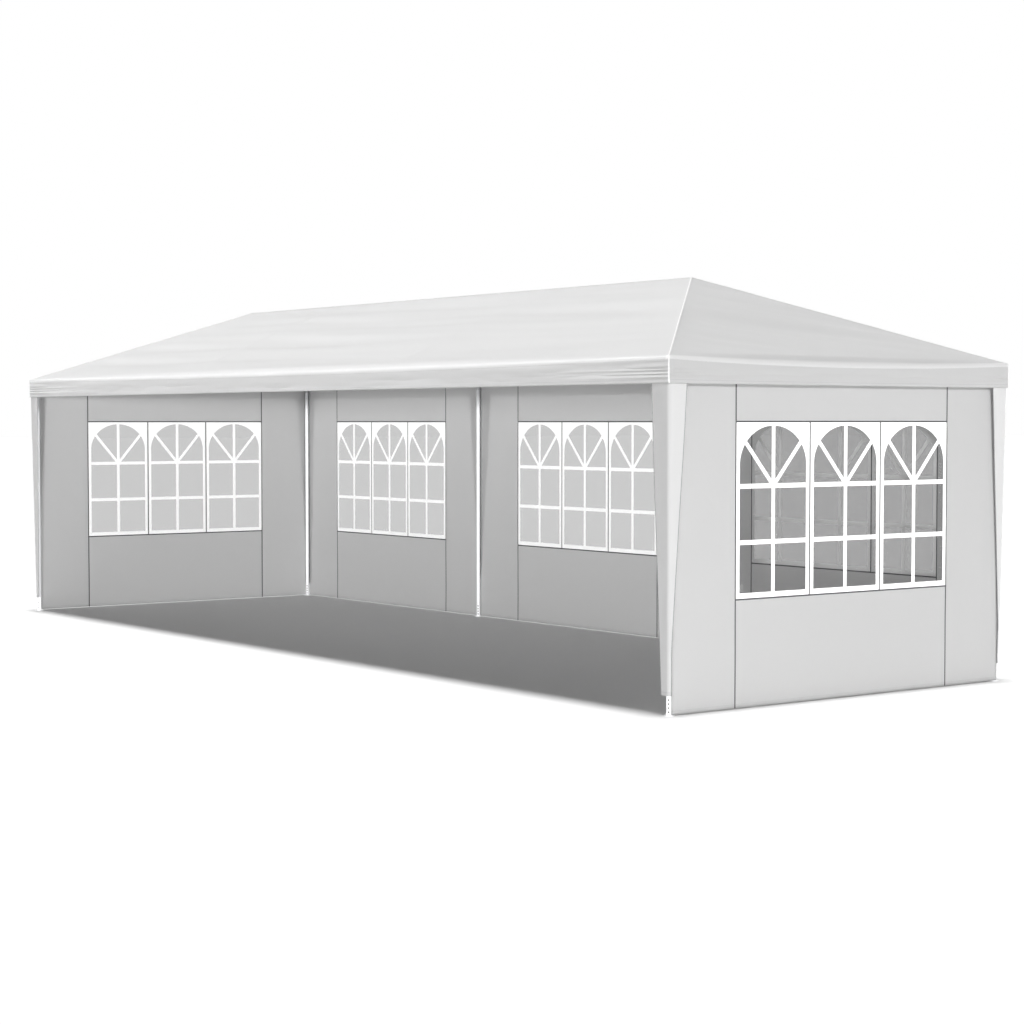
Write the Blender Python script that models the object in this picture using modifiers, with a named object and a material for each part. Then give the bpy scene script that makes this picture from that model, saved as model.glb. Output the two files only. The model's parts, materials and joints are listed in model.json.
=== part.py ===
"""Marquee tent, 3 m by 9 m: a tube frame, a hip roof sheet with its valance, wall panels and windows.

The origin is on the ground under the middle of the roof. X runs along the long side, the open
long side faces -Y, and +Z is up. All sizes are in metres.
"""

import math

import bmesh
import bpy
from mathutils import Vector

# Roof sheet
LENGTH = 9.0
WIDTH = 3.0
RIDGE_LENGTH = 6.0
VALANCE_BOTTOM = 1.97
EAVE_HEIGHT = 2.13
RIDGE_HEIGHT = 2.73
CANOPY_THICKNESS = 0.003

# Frame
BAY = 3.0
FRAME_INSET = 0.055
TUBE_RADIUS = 0.014
LEG_RADIUS = 0.016
SOCKET_RADIUS = 0.018
LEG_SOCKET_RADIUS = 0.020
SOCKET_REACH = 0.10
TUBE_STOP = 0.045
TUBE_SIDES = 12
BORE_PAST = 0.01

# Feet
PLATE_RADIUS = 0.035
PLATE_THICKNESS = 0.004
COLLAR_HEIGHT = 0.014
FOOT_HEIGHT = 0.12
SPIGOT_RADIUS = 0.012
SPIGOT_LENGTH = 0.06

# Wall panels and windows
WALL_THICKNESS = 0.002
WALL_BOTTOM = 0.006
WALL_TOP = 2.105
WINDOW_START = 0.19
WINDOW_BOTTOM = 0.67
WINDOW_TOP = 1.74
FILM_THICKNESS = 0.001

# Leg flaps of the roof sheet
FLAP_THICKNESS = 0.002
FLAP_TOP = 2.05
FLAP_BOTTOM = 0.12
FLAP_END_WING = 0.135
FLAP_LONG_WING = 0.175
FLAP_MID_WING = 0.16
FLAP_MID_BOTTOM = 0.35
FLAP_TIP = 0.03

# Room between pieces that touch
GAP = 0.0003

# Worked out from the sizes above
SLOPE = (RIDGE_HEIGHT - EAVE_HEIGHT) / (WIDTH / 2)
SLOPE_COS = math.cos(math.atan(SLOPE))
FRAME_X = LENGTH / 2 - FRAME_INSET
FRAME_Y = WIDTH / 2 - FRAME_INSET
TUBE_DROP = (CANOPY_THICKNESS + SOCKET_RADIUS + GAP) / SLOPE_COS
RAIL_Z = EAVE_HEIGHT + FRAME_INSET * SLOPE - TUBE_DROP
RIDGE_Z = RIDGE_HEIGHT - TUBE_DROP
MID_X = BAY / 2
PEAK_X = RIDGE_LENGTH / 2
WALL_OFFSET = LEG_SOCKET_RADIUS + GAP

WHITE_STEEL = ("white_steel", (0.86, 0.87, 0.88), 0.35, 0.0)
ZINC_STEEL = ("fitting_steel", (0.80, 0.81, 0.82), 0.40, 0.2)
ROOF_SHEET = ("roof_sheet", (0.84, 0.84, 0.84), 0.60, 0.0)
WALL_SHEET = ("wall_sheet", (0.78, 0.78, 0.78), 0.62, 0.0)
WINDOW_FILM = ("window_film", (0.72, 0.74, 0.75), 0.15, 0.0)

SIDES = {"left": -1, "right": 1}
DEPTHS = {"front": -1, "back": 1}


def clear_scene():
    for obj in list(bpy.data.objects):
        bpy.data.objects.remove(obj)


def make_collection(name):
    collection = bpy.data.collections.new(name)
    bpy.context.scene.collection.children.link(collection)
    return collection


def make_material(spec):
    name, colour, roughness, metallic = spec
    material = bpy.data.materials.get(name)
    if material is None:
        material = bpy.data.materials.new(name)
        material.use_nodes = True
        shader = material.node_tree.nodes["Principled BSDF"]
        shader.inputs["Base Color"].default_value = (*colour, 1.0)
        shader.inputs["Roughness"].default_value = roughness
        shader.inputs["Metallic"].default_value = metallic
    return material


def add_object(name, bm, collection, spec=None, smooth=False):
    """Turn a bmesh into a named object, with its own copy of its material."""
    mesh = bpy.data.meshes.new(name)
    bmesh.ops.recalc_face_normals(bm, faces=bm.faces)
    bm.to_mesh(mesh)
    bm.free()
    if smooth:
        mesh.shade_smooth()
        mesh.set_sharp_from_angle(angle=math.radians(40))
    obj = bpy.data.objects.new(name, mesh)
    collection.objects.link(obj)
    if spec is not None:
        material = make_material(spec).copy()
        material.name = f"{name}_{spec[0]}"
        mesh.materials.append(material)
    return obj


def drawn_way(span):
    """The one of two opposite directions that every bar on that line is drawn along."""
    first = next(value for value in span if abs(value) > 1e-9)
    return span if first > 0 else -span


def cylinder(name, start, end, radius, collection, spec=None):
    """A round bar between two points. Bars on one line keep their facets in line."""
    start, end = Vector(start), Vector(end)
    span = end - start
    bm = bmesh.new()
    bmesh.ops.create_cone(
        bm,
        cap_ends=True,
        segments=TUBE_SIDES,
        radius1=radius,
        radius2=radius,
        depth=span.length,
    )
    obj = add_object(name, bm, collection, spec, smooth=True)
    obj.location = (start + end) / 2
    obj.rotation_mode = "QUATERNION"
    obj.rotation_quaternion = drawn_way(span).to_track_quat("Z", "Y")
    return obj


def box(name, low, high, collection, spec=None):
    """A box between its lowest and highest corners."""
    low, high = Vector(low), Vector(high)
    bm = bmesh.new()
    bmesh.ops.create_cube(bm, size=1.0)
    bmesh.ops.scale(bm, vec=high - low, verts=bm.verts)
    obj = add_object(name, bm, collection, spec)
    obj.location = (low + high) / 2
    return obj


def combine(target, tool, operation):
    """Join a tool to the target, or cut it away, with a Boolean modifier."""
    tool.hide_render = True
    tool.display_type = "WIRE"
    modifier = target.modifiers.new(tool.name, "BOOLEAN")
    modifier.operation = operation
    modifier.solver = "EXACT"
    modifier.object = tool


def add_sockets(body, label, centre, sockets, cutters):
    """Give a body a blind socket along each way, bored for the tube that enters it."""
    bores = []
    for number, (way, tube_radius, socket_radius) in enumerate(sockets):
        way = Vector(way).normalized()
        socket = cylinder(f"{label}_socket_{number}", centre, centre + way * SOCKET_REACH,
                          socket_radius, cutters)
        combine(body, socket, "UNION")
        bores.append(cylinder(f"{label}_bore_{number}", centre + way * TUBE_STOP,
                              centre + way * (SOCKET_REACH + BORE_PAST),
                              tube_radius + GAP, cutters))
    for bore in bores:
        combine(body, bore, "DIFFERENCE")


def add_fitting(name, centre, sockets, parts, cutters):
    """A joint of blind sockets that meet at one centre. The first socket is its body."""
    (way, tube_radius, socket_radius), *others = sockets
    way = Vector(way).normalized()
    joint = cylinder(name, centre, centre + way * SOCKET_REACH, socket_radius, parts, ZINC_STEEL)
    add_sockets(joint, name, centre, others, cutters)
    bore = cylinder(f"{name}_bore", centre + way * TUBE_STOP,
                    centre + way * (SOCKET_REACH + BORE_PAST), tube_radius + GAP, cutters)
    combine(joint, bore, "DIFFERENCE")


def tube(name, start, end, parts):
    """A frame tube between two joint centres, stopping inside their sockets."""
    way = (end - start).normalized()
    stop = way * (TUBE_STOP + GAP)
    return cylinder(name, start + stop, end - stop, TUBE_RADIUS, parts, WHITE_STEEL)


def corner(side, depth):
    return Vector((side * FRAME_X, depth * FRAME_Y, RAIL_Z))


def mid_eave(side, depth):
    return Vector((side * MID_X, depth * FRAME_Y, RAIL_Z))


def peak(side):
    return Vector((side * PEAK_X, 0.0, RIDGE_Z))


def mid_ridge(side):
    return Vector((side * MID_X, 0.0, RIDGE_Z))


def build_legs(parts, cutters):
    """Four corner legs and two along the back, each on a flanged foot with a spigot."""
    places = {f"{d}_{s}": corner(SIDES[s], DEPTHS[d]) for d in DEPTHS for s in SIDES}
    places.update({f"back_mid_{s}": mid_eave(SIDES[s], 1) for s in SIDES})
    for name, top in places.items():
        x, y = top.x, top.y
        leg = cylinder(f"leg_{name}", (x, y, FOOT_HEIGHT + GAP), (x, y, RAIL_Z - TUBE_STOP - GAP),
                       LEG_RADIUS, parts, WHITE_STEEL)
        bore = cylinder(f"leg_{name}_bore", (x, y, FOOT_HEIGHT - 0.01),
                        (x, y, FOOT_HEIGHT + SPIGOT_LENGTH + GAP), SPIGOT_RADIUS + GAP, cutters)
        combine(leg, bore, "DIFFERENCE")
        foot = cylinder(f"foot_{name}", (x, y, 0.0), (x, y, PLATE_THICKNESS),
                        PLATE_RADIUS, parts, WHITE_STEEL)
        collar = cylinder(f"foot_{name}_collar", (x, y, PLATE_THICKNESS / 2),
                          (x, y, COLLAR_HEIGHT), LEG_SOCKET_RADIUS, cutters)
        stub = cylinder(f"foot_{name}_stub", (x, y, PLATE_THICKNESS / 2), (x, y, FOOT_HEIGHT),
                        LEG_RADIUS, cutters)
        spigot = cylinder(f"foot_{name}_spigot", (x, y, PLATE_THICKNESS / 2),
                          (x, y, FOOT_HEIGHT + SPIGOT_LENGTH), SPIGOT_RADIUS, cutters)
        for piece in (collar, stub, spigot):
            combine(foot, piece, "UNION")


def roof_socket(way):
    return (way, TUBE_RADIUS, SOCKET_RADIUS)


def leg_socket():
    return ((0, 0, -1), LEG_RADIUS, LEG_SOCKET_RADIUS)


def build_corner_joints(parts, cutters):
    """A fitting on each corner leg that holds two eave rails and a hip rafter."""
    for depth_name, depth in DEPTHS.items():
        for side_name, side in SIDES.items():
            centre = corner(side, depth)
            add_fitting(f"corner_joint_{depth_name}_{side_name}", centre, [
                leg_socket(),
                roof_socket((-side, 0, 0)),
                roof_socket((0, -depth, 0)),
                roof_socket(peak(side) - centre),
            ], parts, cutters)


def add_sleeve(rail, label, centre, sockets, cutters):
    """A sleeve on a tube that runs through, with sockets for what joins it there."""
    reach = Vector((SOCKET_REACH, 0, 0))
    sleeve = cylinder(f"{label}_sleeve", centre - reach, centre + reach, SOCKET_RADIUS, cutters)
    combine(rail, sleeve, "UNION")
    add_sockets(rail, label, centre, sockets, cutters)


def build_rails(parts, cutters):
    """Eave rails. The long ones carry a sleeve at each bay for the rafters and the back legs."""
    for depth_name, depth in DEPTHS.items():
        rail = tube(f"eave_rail_{depth_name}", corner(-1, depth), corner(1, depth), parts)
        for side_name, side in SIDES.items():
            centre = mid_eave(side, depth)
            sockets = [roof_socket(mid_ridge(side) - centre)]
            if depth > 0:
                sockets.append(leg_socket())
            add_sleeve(rail, f"{rail.name}_{side_name}", centre, sockets, cutters)
    for side_name, side in SIDES.items():
        tube(f"eave_rail_{side_name}", corner(side, -1), corner(side, 1), parts)


def build_ridge(parts, cutters):
    """The ridge pole with its two sleeves, and the fitting at each end of it."""
    ridge = tube("ridge_pole", peak(-1), peak(1), parts)
    for side_name, side in SIDES.items():
        centre = mid_ridge(side)
        add_sleeve(ridge, f"ridge_{side_name}", centre, [
            roof_socket(mid_eave(side, -1) - centre),
            roof_socket(mid_eave(side, 1) - centre),
        ], cutters)
        end = peak(side)
        add_fitting(f"peak_joint_{side_name}", end, [
            roof_socket((-side, 0, 0)),
            roof_socket(corner(side, -1) - end),
            roof_socket(corner(side, 1) - end),
        ], parts, cutters)


def build_rafters(parts):
    for depth_name, depth in DEPTHS.items():
        for side_name, side in SIDES.items():
            tube(f"hip_rafter_{depth_name}_{side_name}", corner(side, depth), peak(side), parts)
            tube(f"rafter_{depth_name}_{side_name}", mid_eave(side, depth), mid_ridge(side),
                 parts)


def add_sheet(name, bm, parts, spec, thickness):
    """A thin sheet whose drawn surface is its outer face."""
    obj = add_object(name, bm, parts, spec)
    solid = obj.modifiers.new("thickness", "SOLIDIFY")
    solid.thickness = thickness
    solid.offset = -1.0
    solid.use_even_offset = True
    return obj


def build_canopy(parts):
    """One sheet: two long slopes, two hip ends and the valance below the eaves."""
    bm = bmesh.new()
    bmesh.ops.create_grid(bm, x_segments=3, y_segments=2, size=1.0)
    columns = sorted({round(v.co.x, 4) for v in bm.verts})
    places = dict(zip(columns, (-LENGTH / 2, -PEAK_X, PEAK_X, LENGTH / 2)))
    for vert in bm.verts:
        vert.co.x = places[round(vert.co.x, 4)]
        on_ridge = abs(vert.co.y) < 1e-4 and abs(vert.co.x) <= PEAK_X
        vert.co.y *= WIDTH / 2
        vert.co.z = RIDGE_HEIGHT if on_ridge else EAVE_HEIGHT
    peaks = [v for v in bm.verts if v.co.z > EAVE_HEIGHT + 0.1]
    for vert in [v for v in bm.verts if len(v.link_faces) == 1]:
        near = min(peaks, key=lambda p: (p.co - vert.co).length)
        bmesh.ops.connect_verts(bm, verts=[vert, near])
    rim = [e for e in bm.edges if e.is_boundary]
    hem = bmesh.ops.extrude_edge_only(bm, edges=rim)["geom"]
    hem = [v for v in hem if isinstance(v, bmesh.types.BMVert)]
    bmesh.ops.translate(bm, vec=(0, 0, VALANCE_BOTTOM - EAVE_HEIGHT), verts=hem)
    add_sheet("canopy", bm, parts, ROOF_SHEET, CANOPY_THICKNESS)


def flap_rows(bottom):
    """Height, distance of the outer face from the frame line, and share of the wing's width."""
    hung = FRAME_INSET - CANOPY_THICKNESS - GAP
    tied = WALL_OFFSET + WALL_THICKNESS + GAP + FLAP_THICKNESS
    return [(bottom, tied, 0.0), (VALANCE_BOTTOM, hung, 1.0), (FLAP_TOP, hung, 1.0)]


def build_corner_flaps(parts):
    """A folded, tapering flap down each corner leg, sewn inside the valance."""
    for depth_name, depth in DEPTHS.items():
        for side_name, side in SIDES.items():
            bm = bmesh.new()
            bmesh.ops.create_grid(bm, x_segments=2, y_segments=2, size=1.0)
            for vert in bm.verts:
                z, out, share = flap_rows(FLAP_BOTTOM)[round(vert.co.y) + 1]
                wing = round(vert.co.x)
                full = FLAP_LONG_WING if wing < 0 else FLAP_END_WING
                width = (FLAP_TIP + (full - FLAP_TIP) * share) if wing else 0.0
                x = FRAME_X + out - (width if wing < 0 else 0.0)
                y = FRAME_Y + out - (width if wing > 0 else 0.0)
                vert.co = (side * x, depth * y, z)
            flap = add_sheet(f"corner_flap_{depth_name}_{side_name}", bm, parts, ROOF_SHEET,
                             FLAP_THICKNESS)
            face_out(flap, Vector((side, depth, 0)))


def build_mid_flaps(parts):
    """A flat, tapering flap behind each mid leg of the back."""
    for side_name, side in SIDES.items():
        bm = bmesh.new()
        bmesh.ops.create_grid(bm, x_segments=1, y_segments=2, size=1.0)
        for vert in bm.verts:
            z, out, share = flap_rows(FLAP_MID_BOTTOM)[round(vert.co.y) + 1]
            half = FLAP_TIP / 2 + (FLAP_MID_WING - FLAP_TIP / 2) * share
            vert.co = (side * MID_X + round(vert.co.x) * half, FRAME_Y + out, z)
        flap = add_sheet(f"mid_flap_{side_name}", bm, parts, ROOF_SHEET, FLAP_THICKNESS)
        face_out(flap, Vector((0, 1, 0)))


def face_out(obj, way):
    """Turn an open sheet so that its faces look along the given way."""
    bm = bmesh.new()
    bm.from_mesh(obj.data)
    bm.normal_update()
    facing = sum((f.normal for f in bm.faces), Vector())
    if facing.dot(way) < 0:
        bmesh.ops.reverse_faces(bm, faces=bm.faces)
    bm.to_mesh(obj.data)
    bm.free()


def build_wall(name, start, end, outward, parts, cutters):
    """A wall panel between two points of the frame line, with its window cut through it."""
    start, end, outward = Vector(start), Vector(end), Vector(outward)
    inner = outward * WALL_OFFSET
    outer = outward * (WALL_OFFSET + WALL_THICKNESS)
    bounds = [start + inner, start + outer, end + inner, end + outer]
    low = [min(p[i] for p in bounds) for i in range(2)]
    high = [max(p[i] for p in bounds) for i in range(2)]
    wall = box(f"wall_{name}", (*low, WALL_BOTTOM), (*high, WALL_TOP), parts, WALL_SHEET)

    middle = (Vector(low) + Vector(high)) / 2
    along = 0 if abs(outward.x) < 0.5 else 1
    half = [0.0, 0.0]
    half[along] = BAY * (0.5 - WINDOW_START)
    half[1 - along] = WALL_THICKNESS
    opening = box(f"wall_{name}_opening",
                  (middle.x - half[0], middle.y - half[1], WINDOW_BOTTOM),
                  (middle.x + half[0], middle.y + half[1], WINDOW_TOP), cutters)
    combine(wall, opening, "DIFFERENCE")

    half[along] -= GAP
    half[1 - along] = FILM_THICKNESS / 2
    box(f"window_{name}",
        (middle.x - half[0], middle.y - half[1], WINDOW_BOTTOM + GAP),
        (middle.x + half[0], middle.y + half[1], WINDOW_TOP - GAP), parts, WINDOW_FILM)


def build_walls(parts, cutters):
    """Three panels along the back and one at each end. The front stays open."""
    for side_name, side in SIDES.items():
        x = side * FRAME_X
        build_wall(f"end_{side_name}", (x, -FRAME_Y), (x, FRAME_Y), (side, 0), parts, cutters)
    posts = [-FRAME_X, -MID_X, MID_X, FRAME_X]
    for number, bay in enumerate(("left", "middle", "right")):
        build_wall(f"back_{bay}", (posts[number] + GAP / 2, FRAME_Y),
                   (posts[number + 1] - GAP / 2, FRAME_Y), (0, 1), parts, cutters)


def main():
    clear_scene()
    parts = make_collection("marquee_tent")
    cutters = make_collection("cutters")
    build_legs(parts, cutters)
    build_corner_joints(parts, cutters)
    build_rails(parts, cutters)
    build_ridge(parts, cutters)
    build_rafters(parts)
    build_canopy(parts)
    build_corner_flaps(parts)
    build_mid_flaps(parts)
    build_walls(parts, cutters)


main()
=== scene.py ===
"""Marquee tent, 3 m by 9 m: cloth, windows, tubes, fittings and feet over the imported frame.

Metres, +Z up. X runs along the long side, and the open long side faces -Y.
"""

import json
import math

import bmesh
import bpy
from bpy.props import FloatProperty, FloatVectorProperty, IntProperty, PointerProperty
from bpy.types import Operator, Panel, PropertyGroup
from mathutils import Matrix, Vector, noise

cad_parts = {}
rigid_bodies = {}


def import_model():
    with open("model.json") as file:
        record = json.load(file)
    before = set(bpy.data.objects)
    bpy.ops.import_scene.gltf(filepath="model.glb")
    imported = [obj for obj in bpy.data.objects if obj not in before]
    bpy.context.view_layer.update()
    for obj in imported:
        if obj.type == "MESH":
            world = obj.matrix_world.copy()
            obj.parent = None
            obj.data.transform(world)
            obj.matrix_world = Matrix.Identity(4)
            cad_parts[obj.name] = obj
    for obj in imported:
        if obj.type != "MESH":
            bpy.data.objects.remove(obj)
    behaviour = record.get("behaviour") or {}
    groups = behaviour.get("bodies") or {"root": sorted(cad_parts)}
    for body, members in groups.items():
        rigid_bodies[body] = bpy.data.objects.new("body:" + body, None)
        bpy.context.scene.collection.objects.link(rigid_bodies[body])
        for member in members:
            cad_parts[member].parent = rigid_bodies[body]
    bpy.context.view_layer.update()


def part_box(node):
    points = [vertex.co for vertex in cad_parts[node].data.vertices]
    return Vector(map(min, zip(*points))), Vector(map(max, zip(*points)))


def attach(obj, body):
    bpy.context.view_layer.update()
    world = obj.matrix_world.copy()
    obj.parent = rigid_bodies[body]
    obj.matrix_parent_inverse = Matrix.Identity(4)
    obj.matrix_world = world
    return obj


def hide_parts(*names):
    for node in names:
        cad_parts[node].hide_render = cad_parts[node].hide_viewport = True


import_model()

bl_info = {
    "name": "Marquee Tent",
    "version": (1, 0, 0),
    "blender": (4, 5, 0),
    "location": "View3D > Sidebar > Tent",
    "description": "Dresses the frame of a 3 m by 9 m marquee tent",
    "category": "Add Mesh",
}

SIDES = {"left": -1, "right": 1}
DEPTHS = {"front": -1, "back": 1}
UP = Vector((0, 0, 1))
DOWN = Vector((0, 0, -1))


def middle(node):
    low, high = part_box(node)
    return (low + high) / 2


# The roof sheet, read from the frame
CANOPY_LOW, CANOPY_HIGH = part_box("canopy")
HALF_LENGTH, HALF_WIDTH, PEAK_Z = CANOPY_HIGH
HEM_Z = CANOPY_LOW.z
VALANCE = 0.16
EAVE_Z = HEM_Z + VALANCE
SLOPE = (PEAK_Z - EAVE_Z) / HALF_WIDTH
SLOPE_COS = math.cos(math.atan(SLOPE))
PEAK_X = HALF_LENGTH - HALF_WIDTH

# The tube frame, read from the frame
LEG_LOW, LEG_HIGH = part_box("leg_back_right")
RAIL_LOW, RAIL_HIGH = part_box("eave_rail_right")
FRAME_X, FRAME_Y, _ = middle("leg_back_right")
MID_X = middle("leg_back_mid_right").x
RAIL_Z = middle("eave_rail_right").z
RIDGE_Z = PEAK_Z - (EAVE_Z + (HALF_LENGTH - FRAME_X) * SLOPE - RAIL_Z)
TUBE_RADIUS = (RAIL_HIGH.x - RAIL_LOW.x) / 2
LEG_RADIUS = (LEG_HIGH.y - LEG_LOW.y) / 2
LEG_TOP, FOOT_TOP = LEG_HIGH.z, LEG_LOW.z
SOCKET_RADIUS, LEG_SOCKET_RADIUS = 0.018, 0.020
SOCKET_REACH = 0.10
TUBE_STOP = 0.045
GAP = 0.0003

# The rolled mouth of a socket: how far it stands out, and its full part and its whole length
LIP, ROLL, MOUTH = 0.0012, 0.006, 0.008

# Wall panels and their windows
WALL_NAMES = ("end_left", "end_right", "back_left", "back_middle", "back_right")
WINDOW_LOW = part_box("window_end_right")[0].z
_, WINDOW_HALF, WINDOW_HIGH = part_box("window_end_right")[1]
FAN_ANGLE = math.radians(49)
FAN_BAR = 0.92

# Leg covers: where the painted shadow line along a flap's free edge starts, from 0 in the middle
# to 1 at the edge
SHADOW_EDGE = 0.95
ROUND_EDGE = math.radians(35)


def length(name, description, default):
    return FloatProperty(name=name, description=description, default=default, unit="LENGTH")


def amount(name, description, default):
    return FloatProperty(name=name, description=description, default=default)


def colour(name, description, *default):
    return FloatVectorProperty(name=name, description=description, subtype="COLOR",
                               default=default)


class TentCloth(PropertyGroup):
    """Sizes of the roof sheet, its flaps and the wall panels."""

    cell: length("Cell", "Spacing of the roof sheet's mesh", 0.0375)
    thickness: length("Thickness", "Thickness of the cloth", 0.0012)
    roof_sag: length("Roof sag", "Sag between the roof tubes", 0.026)
    sag_reach: length("Sag reach", "How fast the sag starts at a tube", 0.35)
    eave_sag: length("Eave sag", "Dip of the crease on the long sides", 0.027)
    end_eave_sag: length("End eave sag", "Dip of the crease at the ends", 0.036)
    crease_radius: length("Crease radius", "Rounding of the eave crease", 0.014)
    ripple: length("Ripple", "Depth of the soft bands on the roof", 0.026)
    fold: length("Fold", "Depth of the folds in the valance", 0.010)
    hem: length("Hem", "Width of a turned hem", 0.022)
    tape: length("Seam tape", "Width of the tape down each hip", 0.014)
    # Width of the dark band along a flap's free edge: a painted shadow line
    binding: length("Edge binding", "Width of a flap's bound edge", 0.006)
    # Width of the dark band along a wall seam: seam thread, darkened further as a painted shade
    # line
    seam_rib: length("Wall seam", "Width of a wall panel's seam", 0.010)


class TentWindow(PropertyGroup):
    """Sizes of the film windows and of the white frames printed on them."""

    lights: IntProperty(name="Lights", description="Arched lights in one window", default=3)
    light_gap: length("Gap", "Gap between two lights", 0.012)
    bar: length("Bar", "Width of a glazing bar", 0.028)
    border: length("Border", "Width of a light's side border", 0.027)
    arch_sides: IntProperty(name="Arch sides", description="Straight sides in an arch",
                            default=28)
    film: length("Film", "Thickness of the window film", 0.0005)
    ink: length("Print", "Thickness of the white frames", 0.0004)


class TentSteel(PropertyGroup):
    """Sizes of the tubes, fittings and feet."""

    sides: IntProperty(name="Sides", description="Sides of a round tube", default=36)
    edge: length("Edge", "Rounding of a tube's end", 0.0012)
    hole_radius: length("Hole radius", "Radius of a foot's holes", 0.0055)
    hole_pitch: length("Hole pitch", "Spacing of a foot's holes", 0.024)
    holes: IntProperty(name="Holes", description="Holes up a foot", default=4)


class TentFinish(PropertyGroup):
    """Colours of the cloth, film and steel."""

    roof: colour("Roof cloth", "Colour of the roof sheet", 0.77, 0.77, 0.77)
    wall: colour("Wall cloth", "Colour of the wall panels", 0.84, 0.84, 0.84)
    # Dark seam thread, darkened further as a painted shade line beside the window and between the
    # lights
    seam: colour("Seam", "Colour of the grey seams", 0.10, 0.10, 0.105)
    cover: colour("Leg covers", "Colour of the leg covers", 0.85, 0.85, 0.85)
    tape: colour("Tape", "Colour of the white seam tape", 0.96, 0.96, 0.96)
    # Colour of the dark band along a flap's free edge: a painted shadow line
    binding: colour("Edge binding", "Colour of a flap's bound edge", 0.36, 0.36, 0.37)
    film: colour("Film", "Tint of the window film", 0.06, 0.06, 0.063)
    ink: colour("Print", "Colour of the window frames", 0.96, 0.96, 0.96)
    steel: colour("Steel", "Colour of the painted tubes", 0.90, 0.91, 0.93)
    # Near black: bare steel darkened further as painted shade inside the foot's bore, so its
    # holes read dark
    inside: colour("Tube inside", "Colour of the bare tube inside", 0.035, 0.035, 0.038)
    fitting: colour("Fitting", "Colour of the zinc fittings", 0.70, 0.71, 0.72)


class TentStudio(PropertyGroup):
    """The camera, the floor and the lights."""

    azimuth: FloatProperty(name="Azimuth", description="Camera's turn from the front",
                           subtype="ANGLE", default=math.radians(53.33))
    elevation: FloatProperty(name="Elevation", description="Camera's height angle",
                             subtype="ANGLE", default=math.radians(2.41))
    distance: length("Distance", "Camera to its target", 16.31)
    target: FloatVectorProperty(name="Target", description="Point in the picture's middle",
                                subtype="XYZ", default=(0.946, 0.0, 1.056))
    lens: amount("Lens", "Focal length in millimetres", 75.14)
    floor_size: length("Floor", "Side of the floor", 400.0)
    sky: amount("Sky", "Brightness of the soft light all round", 0.20)
    floor_sun: amount("Floor sun", "Light straight down on the floor", 3.65)
    right_sun: amount("Right sun", "Soft light from the right", 1.75)
    roof_sun: amount("Roof sun", "Soft light on the roof, from the left", 3.4)
    back_sun: amount("Back sun", "Soft light from behind", 1.5)
    left_sun: amount("Left sun", "Soft light from the left end", 1.5)
    inner_sun: amount("Inner sun", "Light in through the open side", 0.8)
    frame_sun: amount("Frame sun", "Light on the poles and bars", 3.0)


def add_node(tree, kind, **settings):
    node = tree.nodes.new(kind)
    for key, value in settings.items():
        setattr(node, key, value)
    return node


def feed(tree, node, **values):
    """Link outputs to a node's inputs, or set them to numbers or colours, with _ for a space."""
    for key, value in values.items():
        socket = node.inputs[key.replace("_", " ")]
        if isinstance(value, bpy.types.NodeSocket):
            tree.links.new(value, socket)
        elif isinstance(value, (int, float)):
            socket.default_value = value
        else:
            socket.default_value = (*value, 1.0)


def operate(tree, operation, *values):
    """A Math node fed by outputs or plain numbers. Returns its output."""
    node = add_node(tree, "ShaderNodeMath", operation=operation)
    for socket, value in zip(node.inputs, values):
        if isinstance(value, (int, float)):
            socket.default_value = value
        else:
            tree.links.new(value, socket)
    return node.outputs[0]


def mix_colour(tree, factor, first, second):
    node = add_node(tree, "ShaderNodeMix", data_type="RGBA")
    for index, value in zip((0, 6, 7), (factor, first, second)):
        if isinstance(value, bpy.types.NodeSocket):
            tree.links.new(value, node.inputs[index])
        else:
            node.inputs[index].default_value = (*value, 1.0)
    return node.outputs[2]


def parts_of(tree, vector):
    """The X, Y and Z of a vector."""
    split = add_node(tree, "ShaderNodeSeparateXYZ")
    tree.links.new(vector, split.inputs[0])
    return split.outputs


def grain(tree, vector, scale, **values):
    """Noise over a vector. Returns its value."""
    node = add_node(tree, "ShaderNodeTexNoise")
    feed(tree, node, Vector=vector, Scale=scale, **values)
    return node.outputs["Fac"]


VECTOR, COLOUR, VALUE = "NodeSocketVector", "NodeSocketColor", "NodeSocketFloat"


def new_group(name, inputs, outputs):
    """A shader node group, with inputs as (name, kind, default) and outputs as (name, kind)."""
    tree = bpy.data.node_groups.new(name, "ShaderNodeTree")
    for label, kind, default in inputs:
        socket = tree.interface.new_socket(label, in_out="INPUT", socket_type=kind)
        if default is not None:
            socket.default_value = default
    for label, kind in outputs:
        tree.interface.new_socket(label, in_out="OUTPUT", socket_type=kind)
    entry = add_node(tree, "NodeGroupInput")
    leave = add_node(tree, "NodeGroupOutput")
    return tree, entry.outputs, leave


def weave_group(name):
    """Plain weave of flat threads, from a vector in metres."""
    tree, given, made = new_group(
        name, [("Vector", VECTOR, None), ("Pitch", VALUE, 0.002), ("Unevenness", VALUE, 0.3)],
        [("Height", VALUE), ("Shade", VALUE)])
    turns = operate(tree, "DIVIDE", math.tau, given["Pitch"])
    waves = [operate(tree, "SINE", operate(tree, "MULTIPLY", axis, turns))
             for axis in parts_of(tree, given["Vector"])[:2]]
    weave = operate(tree, "MULTIPLY", operate(tree, "MULTIPLY", *waves), 0.5)
    lumps = operate(tree, "MULTIPLY", grain(tree, given["Vector"], 90.0), given["Unevenness"])
    height = operate(tree, "ADD", weave, lumps)
    feed(tree, made, Height=height, Shade=operate(tree, "MULTIPLY_ADD", height, 0.04, 0.98))
    return tree


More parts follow.
